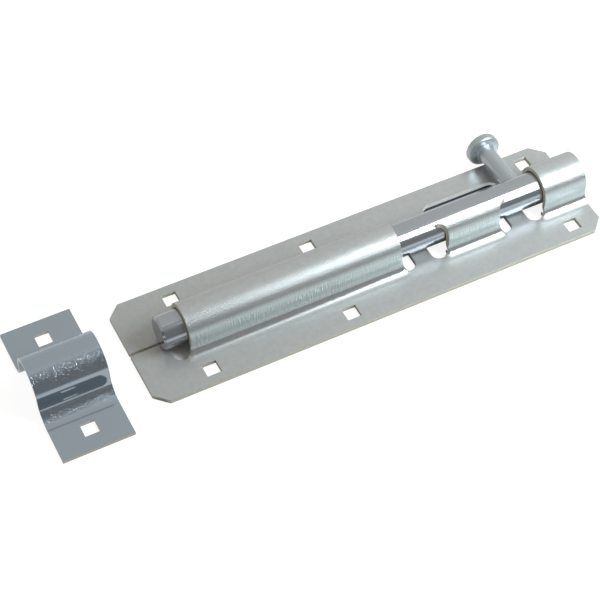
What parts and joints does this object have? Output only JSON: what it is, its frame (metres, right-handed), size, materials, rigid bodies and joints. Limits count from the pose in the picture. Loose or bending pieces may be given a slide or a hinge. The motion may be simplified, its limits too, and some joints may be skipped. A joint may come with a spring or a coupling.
{
  "type": "padbolt",
  "caption": "Sliding bolt for a gate or door: a round rod with a pin handle in a one-piece folded sheet plate, with a separate staple keep.",
  "frame": {"origin": "centre of the whole footprint, on the back plane of the plate and the keep", "axes": "+X along the bolt from the keep to the plate's closed end, +Y to the side that the drawn-back handle points to, +Z away from the door"},
  "size_m": [0.2772, 0.076, 0.0226],
  "materials": {
    "zinc_sheet": "satin zinc plate on folded sheet steel",
    "bright_zinc_bar": "bright zinc plate on drawn bar",
    "bright_zinc_pin": "bright zinc plate on a turned pin",
    "bright_zinc_strip": "glossy zinc plate on folded strip"
  },
  "bodies": {
    "plate": {"bolt_plate": "zinc_sheet", "keep": "bright_zinc_strip"},
    "rod": {"bolt_rod": "bright_zinc_bar"},
    "handle": {"handle": "bright_zinc_pin"}
  },
  "joints": [
    {"name": "bolt_slide", "type": "slide", "parent": "plate", "child": "rod", "axis": [-1, 0, 0], "range_m": [-0.003, 0.0645]},
    {"name": "handle_turn", "type": "hinge", "parent": "rod", "child": "handle", "pos_m": [0.10865, 0, 0.0102], "axis": [1, 0, 0], "range_deg": [0, 186]}
  ]
}
